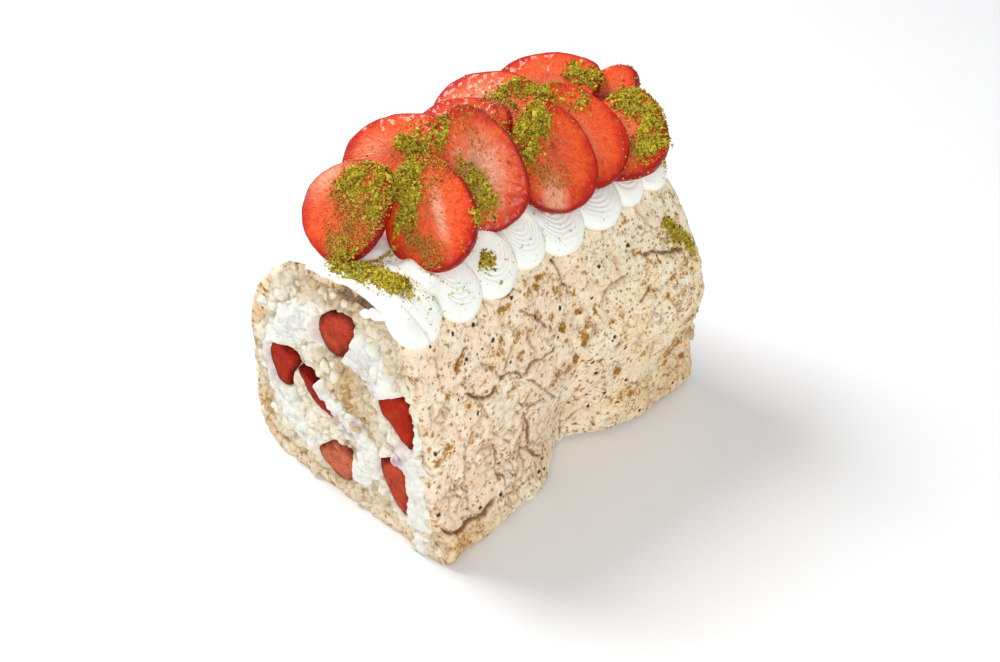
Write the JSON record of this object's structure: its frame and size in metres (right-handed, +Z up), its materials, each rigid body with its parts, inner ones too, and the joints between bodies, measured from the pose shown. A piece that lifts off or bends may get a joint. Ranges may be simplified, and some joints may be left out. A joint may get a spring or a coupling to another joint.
{
  "type": "pavlova roll",
  "caption": "Cut log of baked meringue rolled round cream and strawberry pieces, with piped cream and leaning strawberry slices on top.",
  "frame": {"origin": "middle of the base, on the surface it stands on", "axes": "+X across the roll, +Y along the roll away from the near cut end, +Z up"},
  "size_m": [0.1226, 0.1576, 0.1541],
  "materials": {
    "baked_meringue": "dry, cracked, pinkish-beige baked meringue crust with brown blotches, crumbly pale inside where it is cut",
    "rolled_cream": "soft white whipped cream smeared by the knife, satin",
    "piped_cream": "smooth white piped cream with fine ribs, satin",
    "cut_strawberry": "wet bright red strawberry with a pale streaked core and a darker skin rim",
    "strawberry_filling": "wet deep red strawberry pieces"
  },
  "bodies": {
    "root": {"berry_far_base": "strawberry_filling", "berry_far_left": "strawberry_filling", "berry_far_low": "strawberry_filling", "berry_far_right": "strawberry_filling", "berry_far_top": "strawberry_filling", "berry_near_base": "strawberry_filling", "berry_near_core": "strawberry_filling", "berry_near_left": "strawberry_filling", "berry_near_low": "strawberry_filling", "berry_near_right": "strawberry_filling", "berry_near_top": "strawberry_filling", "cream_filling": "rolled_cream", "meringue_roll": "baked_meringue", "piped_cream": "piped_cream", "slice_end": "cut_strawberry", "slice_left_1": "cut_strawberry", "slice_left_2": "cut_strawberry", "slice_left_3": "cut_strawberry", "slice_left_4": "cut_strawberry", "slice_left_5": "cut_strawberry", "slice_right_1": "cut_strawberry", "slice_right_2": "cut_strawberry", "slice_right_3": "cut_strawberry", "slice_right_4": "cut_strawberry", "slice_right_5": "cut_strawberry"}
  },
  "joints": []
}
